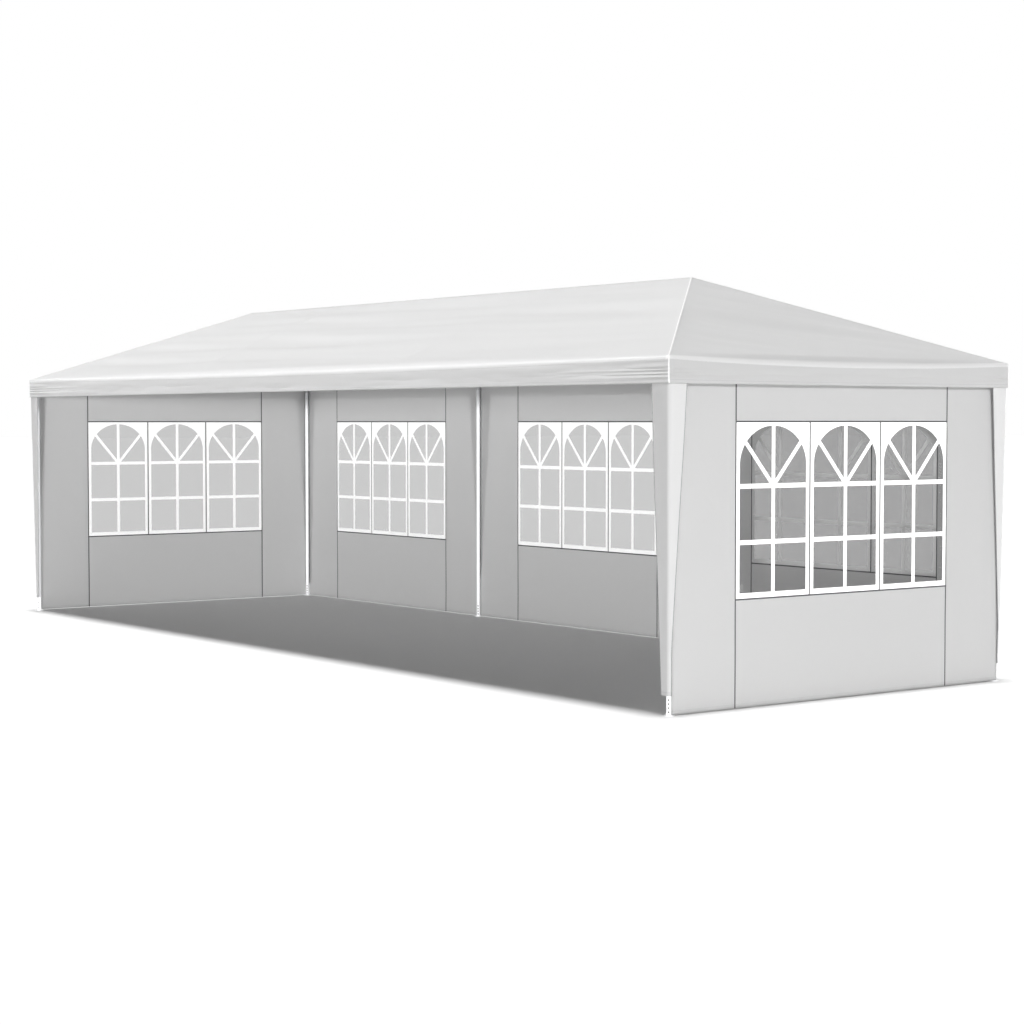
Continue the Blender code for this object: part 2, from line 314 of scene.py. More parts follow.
def crumple_group(name):
    """Small soft creases that packing leaves in a sheet."""
    tree, given, made = new_group(name, [("Vector", VECTOR, None), ("Size", VALUE, 0.25)],
                                  [("Height", VALUE)])
    scale = operate(tree, "DIVIDE", 1.0, given["Size"])
    broad = grain(tree, given["Vector"], scale, Detail=3.0, Distortion=0.6)
    sharp = add_node(tree, "ShaderNodeTexVoronoi", feature="DISTANCE_TO_EDGE")
    feed(tree, sharp, Vector=given["Vector"], Scale=scale)
    ridge = operate(tree, "MINIMUM", sharp.outputs["Distance"], 0.12)
    feed(tree, made, Height=operate(tree, "MULTIPLY_ADD", ridge, 0.8, broad))
    return tree


def dust_group(name):
    """Faint blotches of dust all over, thicker near the ground."""
    tree, given, made = new_group(
        name, [("Clean", COLOUR, None), ("Dust", COLOUR, (0.55, 0.52, 0.47, 1)),
               ("Vector", VECTOR, None), ("Reach", VALUE, 0.35), ("Amount", VALUE, 0.12)],
        [("Colour", COLOUR), ("Mask", VALUE)])
    rise = operate(tree, "DIVIDE", parts_of(tree, given["Vector"])[2], given["Reach"])
    low = operate(tree, "SUBTRACT", 1.0, operate(tree, "MINIMUM", rise, 1.0))
    spread = operate(tree, "MULTIPLY_ADD", low, 0.8, 0.2)
    blotch = grain(tree, given["Vector"], 3.5, Detail=6.0)
    mask = operate(tree, "MULTIPLY", operate(tree, "MULTIPLY", spread, blotch), given["Amount"])
    feed(tree, made, Colour=mix_colour(tree, mask, given["Clean"], given["Dust"]), Mask=mask)
    return tree


def stitch_group(name):
    """A row of stitches: dashes along one direction, at zero of the other."""
    tree, given, made = new_group(
        name, [("Along", VALUE, 0.0), ("Across", VALUE, 0.0), ("Pitch", VALUE, 0.006),
               ("Width", VALUE, 0.0012)], [("Mask", VALUE)])
    step = operate(tree, "FRACT", operate(tree, "DIVIDE", given["Along"], given["Pitch"]))
    dash = operate(tree, "LESS_THAN", step, 0.72)
    near = operate(tree, "LESS_THAN", operate(tree, "ABSOLUTE", given["Across"]), given["Width"])
    feed(tree, made, Mask=operate(tree, "MULTIPLY", dash, near))
    return tree


def wear_group(name):
    """Paint rubbed off in short patches."""
    tree, given, made = new_group(name, [("Vector", VECTOR, None), ("Amount", VALUE, 0.5)],
                                  [("Mask", VALUE), ("Height", VALUE)])
    paint = grain(tree, given["Vector"], 45.0, Detail=8.0, Roughness=0.65)
    edge = operate(tree, "MULTIPLY_ADD", given["Amount"], -0.2, 0.82)
    feed(tree, made, Mask=operate(tree, "GREATER_THAN", paint, edge),
         Height=operate(tree, "MULTIPLY", paint, 0.3))
    return tree


GROUPS = {"Thread weave": weave_group, "Packing crumple": crumple_group,
          "Ground dust": dust_group, "Stitch row": stitch_group, "Rubbed paint": wear_group}


def place_group(tree, name, **values):
    """Put a node group in a material, built the first time, and feed its inputs."""
    group = bpy.data.node_groups.get(name) or GROUPS[name](name)
    node = add_node(tree, "ShaderNodeGroup", node_tree=group)
    feed(tree, node, **values)
    return node.outputs


def new_material(name, tint, roughness, specular=0.5):
    """A material. Returns its tree, its Principled BSDF and its texture coordinates."""
    material = bpy.data.materials.new(name)
    material.use_nodes = True
    tree = material.node_tree
    shader = tree.nodes["Principled BSDF"]
    feed(tree, shader, Base_Color=tint, Roughness=roughness, Specular_IOR_Level=specular)
    return tree, shader, add_node(tree, "ShaderNodeTexCoord").outputs


def lay_dust(tree, shader, clean, place, **values):
    """Dust over a clean colour, as the shader's own colour."""
    dusty = place_group(tree, "Ground dust", Clean=clean, Vector=place["Object"], **values)
    feed(tree, shader, Base_Color=dusty["Colour"])


def add_bump(tree, shader, height, strength, distance):
    bump = add_node(tree, "ShaderNodeBump")
    feed(tree, bump, Strength=strength, Distance=distance, Height=height)
    feed(tree, shader, Normal=bump.outputs[0])
    return bump.outputs[0]


def let_light_through(tree, shader, tint, share, normal):
    """Mix the surface with a translucent one, so light shows through the cloth."""
    through = add_node(tree, "ShaderNodeBsdfTranslucent")
    feed(tree, through, Color=tint, Normal=normal)
    mix = add_node(tree, "ShaderNodeMixShader")
    mix.inputs[0].default_value = share
    tree.links.new(shader.outputs[0], mix.inputs[1])
    tree.links.new(through.outputs[0], mix.inputs[2])
    feed(tree, tree.nodes["Material Output"], Surface=mix.outputs[0])


def painted_crease_highlight(tree, place, up, crease):
    """Painted highlight: a pale band along the eave crease, palest round the tent's two ends."""
    reach, fade, faint = 0.024, 0.012, 0.25
    off = operate(tree, "ABSOLUTE", operate(tree, "SUBTRACT", up, crease))
    near = operate(tree, "DIVIDE", operate(tree, "SUBTRACT", reach, off), fade)
    near = operate(tree, "MINIMUM", operate(tree, "MAXIMUM", near, 0.0), 1.0)
    out = operate(tree, "ABSOLUTE", parts_of(tree, place["Object"])[0])
    end = operate(tree, "GREATER_THAN", out, HALF_LENGTH - 0.03)
    return operate(tree, "MULTIPLY", near, operate(tree, "MULTIPLY_ADD", end, 1 - faint, faint))


def cloth_material(name, tint, share, rows, crease=None):
    """Woven sheet with soft packing creases, dust and stitch rows, and a painted highlight along
    the eave crease.
    """
    tree, shader, place = new_material(name, tint, 0.5, 0.35)
    feed(tree, shader, Sheen_Weight=0.08)
    weave = place_group(tree, "Thread weave", Vector=place["UV"])
    crumple = place_group(tree, "Packing crumple", Vector=place["UV"], Size=0.22)
    along, up, _ = parts_of(tree, place["UV"])
    stitched = None
    for row in rows:
        mask = place_group(tree, "Stitch row", Along=along,
                           Across=operate(tree, "SUBTRACT", up, row))["Mask"]
        stitched = mask if stitched is None else operate(tree, "MAXIMUM", stitched, mask)
    sewn = mix_colour(tree, stitched, tint, [value * 0.72 for value in tint])
    # Painted highlight: the colour turns towards white along the eave crease
    if crease is not None:
        sewn = mix_colour(tree, painted_crease_highlight(tree, place, up, crease), sewn, (1.0, 1.0, 1.0))
    dusty = place_group(tree, "Ground dust", Clean=sewn, Vector=place["Object"], Amount=0.05)
    shade = add_node(tree, "ShaderNodeVectorMath", operation="SCALE")
    tree.links.new(dusty["Colour"], shade.inputs[0])
    feed(tree, shade, Scale=weave["Shade"])
    feed(tree, shader, Base_Color=shade.outputs[0])
    threads = operate(tree, "MULTIPLY", weave["Height"], 0.35)
    height = operate(tree, "MULTIPLY_ADD", crumple["Height"], 6.0, threads)
    height = operate(tree, "SUBTRACT", height, operate(tree, "MULTIPLY", stitched, 0.6))
    let_light_through(tree, shader, tint, share, add_bump(tree, shader, height, 0.5, 0.0006))


def tape_material(name, tint):
    """Woven tape with a fine grain, which lets no light through."""
    tree, shader, place = new_material(name, tint, 0.38)
    weave = place_group(tree, "Thread weave", Vector=place["Object"], Pitch=0.0016,
                        Unevenness=0.5)
    lay_dust(tree, shader, tint, place, Amount=0.08)
    add_bump(tree, shader, weave["Height"], 0.4, 0.0004)


def film_material(name, tint):
    """Clear soft sheet with a grey haze and slow ripples."""
    tree, shader, place = new_material(name, tint, 0.16, 0.35)
    ripple = grain(tree, place["Object"], 4.0, Detail=1.0)
    lay_dust(tree, shader, tint, place, Reach=1.2, Amount=0.10)
    feed(tree, shader, Alpha=0.25, Roughness=operate(tree, "MULTIPLY_ADD", ripple, 0.10, 0.10))
    add_bump(tree, shader, ripple, 0.35, 0.006)


def print_material(name, tint):
    """White printed vinyl, with a slight orange peel."""
    tree, shader, place = new_material(name, tint, 0.3)
    lay_dust(tree, shader, tint, place, Reach=1.0, Amount=0.05)
    add_bump(tree, shader, grain(tree, place["Object"], 160.0), 0.2, 0.0003)


def steel_material(name, tint, bare, roughness, metallic, wear):
    """Coated steel: a smooth skin with rubbed patches of bare metal and some dust."""
    tree, shader, place = new_material(name, tint, roughness)
    rubbed = place_group(tree, "Rubbed paint", Vector=place["Object"], Amount=wear)
    lay_dust(tree, shader, mix_colour(tree, rubbed["Mask"], tint, bare), place, Reach=0.25,
             Amount=0.25)
    bright = 0.9
    feed(tree, shader,
         Metallic=operate(tree, "MULTIPLY_ADD", rubbed["Mask"], bright - metallic, metallic),
         Roughness=operate(tree, "MULTIPLY_ADD", rubbed["Height"], 0.4, roughness - 0.06))
    add_bump(tree, shader, rubbed["Height"], 0.15, 0.0004)


def finish_of(name):
    """One of the tent's materials by name, made the first time it is asked for."""
    if name not in bpy.data.materials:
        tints = bpy.context.scene.tent_finish
        hem = bpy.context.scene.tent_cloth.hem
        makers = {
            # The roof's last value is the height of the eave crease, where its painted highlight
            # lies
            "roof_cloth": (cloth_material, tints.roof, 0.28, (hem, VALANCE - 0.020), VALANCE),
            "cover_cloth": (cloth_material, tints.cover, 0.15, (0.020,)),
            "wall_cloth": (cloth_material, tints.wall, 0.42, (hem,)),
            "seam_tape": (tape_material, tints.tape),
            "seam_rib": (tape_material, tints.seam),
            "edge_binding": (tape_material, tints.binding),
            "clear_film": (film_material, tints.film),
            "window_frame_print": (print_material, tints.ink),
            "painted_steel": (steel_material, tints.steel, (0.55, 0.55, 0.56), 0.30, 0.0, 0.35),
            "tube_inside": (steel_material, tints.inside, (0.05, 0.04, 0.035), 0.7, 0.2, 0.9),
            "zinc_fitting": (steel_material, tints.fitting, (0.45, 0.45, 0.46), 0.38, 0.75, 0.8),
        }
        make, *values = makers[name]
        make(name, *values)
    return bpy.data.materials[name]


def new_piece(name, bm, finishes, sharp_angle=None):
    """Hand a finished bmesh over as a piece that rides with the tent."""
    mesh = bpy.data.meshes.new(name)
    bm.to_mesh(mesh)
    bm.free()
    for finish in finishes:
        mesh.materials.append(finish_of(finish))
    mesh.shade_smooth()
    if sharp_angle is not None:
        mesh.set_sharp_from_angle(angle=sharp_angle)
    piece = bpy.data.objects.new(name, mesh)
    bpy.context.scene.collection.objects.link(piece)
    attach(piece, "root")
    return piece


def thicken(piece, thickness, offset=-1.0):
    solid = piece.modifiers.new("cloth thickness", "SOLIDIFY")
    solid.thickness = thickness
    solid.offset = offset
    solid.use_quality_normals = True


def lattice(columns, rows):
    """A flat sheet in the XY plane with a vertex at every column and row."""
    bm = bmesh.new()
    across, up = len(columns) - 1, len(rows) - 1
    bmesh.ops.create_grid(bm, x_segments=across, y_segments=up, size=1.0)
    for vert in bm.verts:
        column = round((vert.co.x + 1) / 2 * across)
        row = round((vert.co.y + 1) / 2 * up)
        vert.co = (columns[column], rows[row], 0.0)
    return bm


def even(start, end, step):
    """Even places from start to end, about a step apart."""
    count = max(1, round(abs(end - start) / step))
    return [start + (end - start) * number / count for number in range(count + 1)]


def marks(stops, step):
    """Even places between stops, with every stop among them."""
    places = stops[:1]
    for start, end in zip(stops, stops[1:]):
        places += even(start, end, step)[1:]
    return places


def lay_uv(bm, flat_place):
    """Write a UV map in metres, from a function of a point and its face."""
    layer = bm.loops.layers.uv.new("cut")
    for face in bm.faces:
        for loop in face.loops:
            loop[layer].uv = flat_place(loop.vert.co, face)


def face_along(bm, way):
    """Turn the faces of an open sheet so that together they look along a way."""
    bmesh.ops.recalc_face_normals(bm, faces=bm.faces)
    if sum((f.normal for f in bm.faces), Vector()).dot(way) < 0:
        bmesh.ops.reverse_faces(bm, faces=bm.faces)


def extrude(bm, edges):
    """Extrude edges in place. Returns the new edges and the new vertices."""
    made = bmesh.ops.extrude_edge_only(bm, edges=edges)["geom"]
    return ([e for e in made if isinstance(e, bmesh.types.BMEdge)],
            [v for v in made if isinstance(v, bmesh.types.BMVert)])


def taut(distance, reach):
    """0 at a support, and close to 1 well away from it."""
    return 1.0 - math.exp(-max(distance, 0.0) / reach)


def bell(value, centre, width):
    return math.exp(-((value - centre) / width) ** 2)


def plan_inset(x, y):
    """Distance in plan from the tent's outline."""
    return min(HALF_WIDTH - abs(y), HALF_LENGTH - abs(x))


def on_end(x, y):
    """Whether a place in plan is on one of the two hip ends."""
    return HALF_LENGTH - abs(x) < HALF_WIDTH - abs(y)


def on_hip(point, slack):
    return (abs(point.x) > PEAK_X - slack
            and abs(abs(point.x) - PEAK_X - abs(point.y)) < slack)


def hip_distance(x, y):
    """Distance in plan to the nearest hip line."""
    out, side = abs(x) - PEAK_X, abs(y)
    along = max(0.0, (out + side) / 2)
    return math.hypot(out - along, side - along)


def ridge_distance(x, y):
    return math.hypot(max(abs(x) - PEAK_X, 0.0), y)


def roof_drop(x, y, cloth):
    """How far the sheet hangs below its straight slope at a place in plan."""
    # The two cells beside the eave lie on the rail, its sleeves and the wall straps
    inset = plan_inset(x, y) - 2 * cloth.cell
    supports = inset, hip_distance(x, y), ridge_distance(x, y)
    rafter = abs(abs(x) - MID_X)
    held = math.prod(taut(distance, cloth.sag_reach) for distance in (*supports, rafter))
    free = math.prod(taut(distance, 0.12) for distance in supports) * taut(rafter, 0.06)
    if on_end(x, y):
        along, across, depth, side = y, inset + 0.30 * y, 1.5 * cloth.ripple, x
    else:
        along, across, depth, side = x, inset + 0.04 * x, cloth.ripple, y
    side = math.copysign(9.0, side)
    streak = noise.noise(Vector((along * 0.32, across * 3.4, side)))
    streak += 0.45 * noise.noise(Vector((along * 0.5, across * 8.5, side + 4.0)))
    return cloth.roof_sag * held + depth * free * streak


def crease_drop(x, y, cloth):
    """The dip of the eave crease, which ends at the first cell line inside it."""
    if on_end(x, y) or abs(abs(x) - HALF_LENGTH) < 1e-4:
        dip = cloth.end_eave_sag * (1 - (y / HALF_WIDTH) ** 2)
    else:
        dip = cloth.eave_sag * (1 - (x / HALF_LENGTH) ** 2)
    return dip * max(0.0, 1 - plan_inset(x, y) / cloth.cell) ** 2


def valance_fold(corner, height, reach, cloth, seed):
    """Outward push of the valance: creased folds by the corners, a slow wave elsewhere."""
    share = height / VALANCE
    ridges = 0.55 * bell(share, 0.50, 0.040) + 0.55 * bell(share, 0.36, 0.035)
    ridges += 0.5 * bell(share, 0.88, 0.10) - 0.6 * bell(share, 0.66, 0.12)
    ridges -= 0.4 * bell(share, 0.23, 0.05)
    near = math.exp(-corner / reach) * taut(corner, 0.02)
    wave = noise.noise(Vector((corner * 1.4, height * 9.0, seed)))
    wave += 0.5 * noise.noise(Vector((corner * 4.5, height * 22.0, seed + 5.0)))
    loose = taut(corner, 0.08) * min(1.0, (1 - share) * 3)
    return cloth.fold * (1.5 * ridges * near + 0.55 * wave * loose)


def push_valance(vert, cloth):
    """Move one valance vertex outwards by its fold. The four corners stay."""
    x, y, z = vert.co
    if plan_inset(x, y) > 1e-5:
        return
    height = z - HEM_Z
    hem_step = 0.0010 if height < cloth.hem else 0.0
    at_end = abs(abs(x) - HALF_LENGTH) < 1e-5
    at_side = abs(abs(y) - HALF_WIDTH) < 1e-5
    if at_end and at_side:
        return
    if at_end:
        fold = valance_fold(HALF_WIDTH - abs(y), height, 0.12, cloth, 20.0 + x)
        vert.co.x += math.copysign(fold + hem_step, x)
    else:
        fold = valance_fold(HALF_LENGTH - abs(x), height, 0.45, cloth, 40.0 + y)
        vert.co.y += math.copysign(fold + hem_step, y)


def roof_uv(point, face, cloth):
    """Place on the cut cloth: along the eave, and up from the valance's hem."""
    centre = face.calc_center_median()
    end = on_end(centre.x, centre.y)
    edge_x = math.copysign(HALF_LENGTH, centre.x) if end else centre.x
    top = EAVE_Z - crease_drop(edge_x, centre.y, cloth)
    if centre.z < top - 0.3 * cloth.crease_radius and plan_inset(centre.x, centre.y) < 0.01:
        up = VALANCE * min(1.0, (point.z - HEM_Z) / (top - HEM_Z))
    else:
        up = VALANCE + max(0.0, plan_inset(point.x, point.y)) / SLOPE_COS
    return (point.y if end else point.x, up)


def build_roof(cloth):
    """The roof sheet: slopes and hip ends that sag between the tubes, and the valance."""
    bm = lattice(even(-HALF_LENGTH, HALF_LENGTH, cloth.cell),
                 even(-HALF_WIDTH, HALF_WIDTH, cloth.cell))
    bm.faces.ensure_lookup_table()
    for face in list(bm.faces):
        folded = [v for v in face.verts if on_hip(v.co, cloth.cell * 0.01)]
        if len(folded) == 2:
            bmesh.ops.connect_verts(bm, verts=folded)
    for vert in bm.verts:
        x, y, _ = vert.co
        slope = EAVE_Z + SLOPE * plan_inset(x, y)
        vert.co.z = slope - roof_drop(x, y, cloth) - crease_drop(x, y, cloth)

    folds_top, folds_foot = VALANCE * 0.42, VALANCE * 0.85
    rows = even(1.5 * cloth.crease_radius, folds_top, 0.010)
    rows += even(folds_top, folds_foot, 0.0035)[1:] + even(folds_foot, VALANCE, 0.008)[1:]
    crease = [e for e in bm.edges if e.is_boundary]
    rim = crease
    for row in rows:
        rim, lower = extrude(bm, rim)
        for vert in lower:
            top = EAVE_Z - crease_drop(vert.co.x, vert.co.y, cloth)
            vert.co.z = top + (HEM_Z - top) * row / VALANCE
    for vert in bm.verts:
        push_valance(vert, cloth)
    for edge in bm.edges:
        edge.smooth = not all(on_hip(v.co, 0.002) for v in edge.verts)
    bmesh.ops.bevel(bm, geom=crease, offset=cloth.crease_radius, segments=4, profile=0.5,
                    affect="EDGES", material=-1)
    face_along(bm, UP)
    lay_uv(bm, lambda point, face: roof_uv(point, face, cloth))
    roof = new_piece("roof_sheet", bm, ("roof_cloth",))
    thicken(roof, cloth.thickness)
    return roof


def build_hip_tape(depth_name, side_name, cloth):
    """White tape sewn down one hip and on down the corner of the valance."""
    side, depth = SIDES[side_name], DEPTHS[depth_name]
    lift, half = 0.0016, cloth.tape / 2
    top = Vector((PEAK_X, 0.0, PEAK_Z))
    corner = Vector((HALF_LENGTH, HALF_WIDTH, EAVE_Z))
    hip = [top.lerp(corner, n / 60) for n in range(61)]
    path = hip + [corner + DOWN * VALANCE * n / 12 for n in range(1, 13)]
    diagonal = Vector((1, 1, 0)).normalized()
    bm = lattice(even(-1.0, 1.0, 0.5), list(range(len(path))))
    for vert in bm.verts:
        across, row = vert.co.x, round(vert.co.y)
        out = diagonal if row >= len(hip) else Vector((SLOPE, SLOPE, 2)).normalized()
        if row == len(hip) - 1:
            out = (out + diagonal * 0.8).normalized()
        wing = Vector((0, -1, 0)) if across > 0 else Vector((-1, 0, 0))
        vert.co = path[row] + wing * abs(across) * half + out * lift
        vert.co.x *= side
        vert.co.y *= depth
    face_along(bm, UP)
    tape = new_piece(f"hip_tape_{depth_name}_{side_name}", bm, ("seam_tape",),
                     math.radians(50))
    thicken(tape, lift)
    return tape


def flap_wave(along, height, seed):
    """Soft upright folds of a hanging flap."""
    return noise.noise(Vector((along * 9.0, height * 1.6, seed)))


def paint_edge_shadows(bm):
    """Mark the outer columns of a flat flap, from -1 to 1 across, for the painted shadow line
    along its free edges.
    """
    for face in bm.faces:
        face.material_index = 1 if abs(face.calc_center_median().x) > SHADOW_EDGE else 0


def flap_reach(u, width, cloth):
    """Distance from a flap's middle at u from -1 to 1, with the painted edge shadow kept one
    width.
    """
    plain = width - cloth.binding
    if abs(u) > SHADOW_EDGE:
        return plain + (abs(u) - SHADOW_EDGE) / (1 - SHADOW_EDGE) * cloth.binding
    return abs(u) / SHADOW_EDGE * plain


def finish_flap(name, bm, cloth, node):
    """Hand a leg cover over as a sheet that hangs from the roof."""
    # The second slot is the dark painted shadow line along the flap's free edges
    flap = new_piece(name, bm, ("cover_cloth", "edge_binding"))
    thicken(flap, cloth.thickness)
    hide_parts(node)


def build_corner_flap(depth_name, side_name, cloth):
    """A flap folded round a corner leg: broad at the valance, narrow at its tied foot."""
    side, depth = SIDES[side_name], DEPTHS[depth_name]
    node = f"corner_flap_{depth_name}_{side_name}"
    low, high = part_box(node)
    foot, rise = low.z, high.z - low.z
    fold_top, fold_foot, fold_radius = max(abs(low.x), abs(high.x)), FRAME_X + 0.0246, 0.020
    end_wing, end_tip, end_closing = 0.143, 0.022, 0.14
    long_wing, long_tip = 0.158, 0.065
    bm = lattice([-1.0, *even(-SHADOW_EDGE, SHADOW_EDGE, SHADOW_EDGE / 13), 1.0], even(foot, high.z, 0.03))
    paint_edge_shadows(bm)
    for vert in bm.verts:
        u, z, _ = vert.co
        share = min(1.0, (z - foot) / (HEM_Z - foot))
        fold_x = fold_foot + (fold_top - fold_foot) * share
        fold_y = fold_x - HALF_LENGTH + HALF_WIDTH
        if u < 0:
            width = long_tip + (long_wing - long_tip) * share
        else:
            open_share = max(0.0, (share - end_closing) / (1 - end_closing))
            width = end_tip + (end_wing - end_tip) * open_share
        along = flap_reach(u, width, cloth)
        bend = min(along / fold_radius, math.pi / 4)
        straight = max(0.0, along - fold_radius * math.pi / 4)
        angle = math.pi / 4 + (bend if u < 0 else -bend)
        x = fold_x - fold_radius + fold_radius * math.cos(angle)
        y = fold_y - fold_radius + fold_radius * math.sin(angle)
        loose = taut(along, 0.05) * share
        push = 0.004 * loose * flap_wave(u * width, z, 10.0 * side + 3.0 * depth) - 0.002 * loose
        if u < 0:
            x, y = x - straight, y + push
        else:
            x, y = x + push, y - straight
        vert.co = (side * x, depth * y, z)
    face_along(bm, Vector((side, depth, 0)))
    lay_uv(bm, lambda point, face: (point.x + point.y, point.z - foot))
    finish_flap(f"leg_cover_{depth_name}_{side_name}", bm, cloth, node)


def build_mid_flap(side_name, cloth):
    """A flat tapering flap down the outside of a middle back leg."""
    node = f"mid_flap_{side_name}"
    low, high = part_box(node)
    centre, foot, rise = (low.x + high.x) / 2, low.z, high.z - low.z
    half, tip = (high.x - low.x) / 2, 0.016
    bm = lattice([-1.0, *even(-SHADOW_EDGE, SHADOW_EDGE, 0.1), 1.0], even(foot, high.z, 0.03))
    paint_edge_shadows(bm)
    for vert in bm.verts:
        u, z, _ = vert.co
        share = min(1.0, (z - foot) / (HEM_Z - foot))
        across = math.copysign(flap_reach(u, tip + (half - tip) * share, cloth), u)
        back = low.y + cloth.thickness + (high.y - low.y - cloth.thickness) * share
        wave = 0.003 * taut(abs(across), 0.04) * share * flap_wave(across, z, centre)
        vert.co = (centre + across, min(back + wave, high.y + 0.001), z)
    face_along(bm, Vector((0, 1, 0)))
    lay_uv(bm, lambda point, face: (point.x - centre, point.z - foot))
    finish_flap(f"leg_cover_back_mid_{side_name}", bm, cloth, node)


def wall_ways(name):
    """A wall's directions along it and out of it."""
    end = name.startswith("end")
    out = Vector((math.copysign(1, middle(f"wall_{name}").x), 0, 0) if end else (0, 1, 0))
    return UP.cross(out), out


def wall_matrix(name):
    """Stands a flat piece (x along the wall, y up, z out) in the middle of a wall's thickness."""
    centre = middle(f"wall_{name}")
    along, out = wall_ways(name)
    matrix = Matrix((along, UP, out)).transposed().to_4x4()
    matrix.translation = Vector((centre.x, centre.y, 0))
    return matrix


def wall_half(name):
    low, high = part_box(f"wall_{name}")
    return max(high.x - low.x, high.y - low.y) / 2


def wall_ripple(u, z, half, low, high, seed):
    """Slight looseness of a wall panel between the legs, none at the window or the edges."""
    beside = max(abs(u) - WINDOW_HALF, z - WINDOW_HIGH, WINDOW_LOW - z, 0.0)
    edge = min(half - abs(u), z - low, high - z)
    past_cover = min(1.0, max(0.0, half - abs(u) - 0.13) / 0.05)
    loose = taut(beside, 0.08) * taut(edge, 0.10) * past_cover
    wave = noise.noise(Vector((u * 1.1 + seed, z * 1.7, seed)))
    wave += 0.4 * noise.noise(Vector((u * 4.0 + seed, z * 2.6, seed)))
    return 0.0035 * loose * wave


def build_wall(name, cloth):
    """A wall panel: hems all round, dark seams beside the window, darkened as a painted shade
    line, and the window's opening.
    """
    low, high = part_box(f"wall_{name}")
    half, rib, hem = wall_half(name), cloth.seam_rib, cloth.hem
    foot, top = low.z, high.z
    side = [WINDOW_HALF, WINDOW_HALF + rib / 2, WINDOW_HALF + rib, half - hem, half]
    rows = [foot, foot + hem, WINDOW_LOW - rib, WINDOW_LOW - rib / 2, WINDOW_LOW,
            WINDOW_HIGH, WINDOW_HIGH + rib / 2, WINDOW_HIGH + rib, top - hem, top]
    bm = lattice(marks([-x for x in reversed(side)] + side, 0.06), marks(rows, 0.06))
    hole = [f for f in bm.faces
            if abs(f.calc_center_median().x) < WINDOW_HALF
            and WINDOW_LOW < f.calc_center_median().y < WINDOW_HIGH]
    bmesh.ops.delete(bm, geom=hole, context="FACES")
    # Seam faces take the dark seam colour: thread, darkened further as a painted shade line
    for face in bm.faces:
        centre = face.calc_center_median()
        upright = WINDOW_HALF < abs(centre.x) < WINDOW_HALF + rib
        level = abs(centre.x) < WINDOW_HALF + rib and (
            WINDOW_LOW - rib < centre.y < WINDOW_LOW
            or WINDOW_HIGH < centre.y < WINDOW_HIGH + rib)
        face.material_index = 1 if upright or level else 0
    lay_uv(bm, lambda point, face: (point.x, point.y - foot))
    seed = 3.0 * WALL_NAMES.index(name)
    clear, crest = 0.0004, 0.0008
    for vert in bm.verts:
        u, z = abs(vert.co.x), vert.co.y
        off_seam = abs(u - WINDOW_HALF - rib / 2)
        if u < WINDOW_HALF + rib:
            off_seam = min(off_seam, abs(z - WINDOW_LOW + rib / 2),
                           abs(z - WINDOW_HIGH - rib / 2))
        vert.co.z = clear + wall_ripple(vert.co.x, z, half, foot, top, seed)
        vert.co.z += crest if off_seam < rib / 10 else 0.0
    bmesh.ops.transform(bm, matrix=wall_matrix(name), verts=bm.verts)
    wall = new_piece(f"wall_panel_{name}", bm, ("wall_cloth", "seam_rib"))
    thicken(wall, cloth.thickness)
    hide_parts(f"wall_{name}")
    straps = build_straps(name)


def build_straps(name):
    """Webbing loops that hang a wall panel from its eave rail."""
    count, width, thickness, from_end = 6, 0.025, 0.0008, 0.16
    foot, upright, wall_face = 0.075, 0.069, 0.0195
    radius, wrap = TUBE_RADIUS + 0.0012, math.radians(255)
    along, out = wall_ways(name)
    centre = middle(f"wall_{name}")
    rail = FRAME_X if name.startswith("end") else FRAME_Y
    axis = centre + out * (rail - abs(centre.dot(out)))
    axis.z = RAIL_Z
    bm = bmesh.new()
    for number in range(count):
        place = axis + along * (wall_half(name) - from_end) * (2 * number / (count - 1) - 1)
        ends = [bm.verts.new(place + along * width * half + out * wall_face + DOWN * foot)
                for half in (-0.5, 0.5)]
        tail, lifted = extrude(bm, [bm.edges.new(ends)])
        bmesh.ops.translate(bm, verts=lifted, vec=UP * upright)
        loop, ring = extrude(bm, tail)
        for vert in ring:
            vert.co = place + along * (vert.co - place).dot(along) + out * radius
        bmesh.ops.spin(bm, geom=loop + ring, cent=place, axis=along, angle=-wrap, steps=18,
                       use_merge=False)
    bmesh.ops.remove_doubles(bm, verts=bm.verts, dist=1e-5)
    bmesh.ops.recalc_face_normals(bm, faces=bm.faces)
    straps = new_piece(f"wall_straps_{name}", bm, ("seam_tape",), math.radians(60))
    thicken(straps, thickness, 0.0)
    return straps


def light_rows(height):
    """Heights in one light: foot rail, lower bar, upper bar, springing and crown of the arch."""
    return [height * share for share in (0.030, 0.318, 0.638, 0.760, 0.982)]


def is_pane(u, v, width, height, window):
    """Whether a place on one light is open film. u is from its middle, v from its foot."""
    bar, inner = window.bar / 2, width / 2 - window.border
    foot, low_bar, high_bar, spring, crown = light_rows(height)
    if abs(u) < bar or abs(u) > inner or v < foot:
        return False
    if abs(v - low_bar) < bar or abs(v - high_bar) < bar:
        return False
    if v > spring and (u / inner) ** 2 + ((v - spring) / (crown - spring)) ** 2 > 1:
        return False
    if v > high_bar:
        off = abs(abs(u) * math.sin(FAN_ANGLE) - (v - high_bar) * math.cos(FAN_ANGLE))
        return off > bar * FAN_BAR
    return True


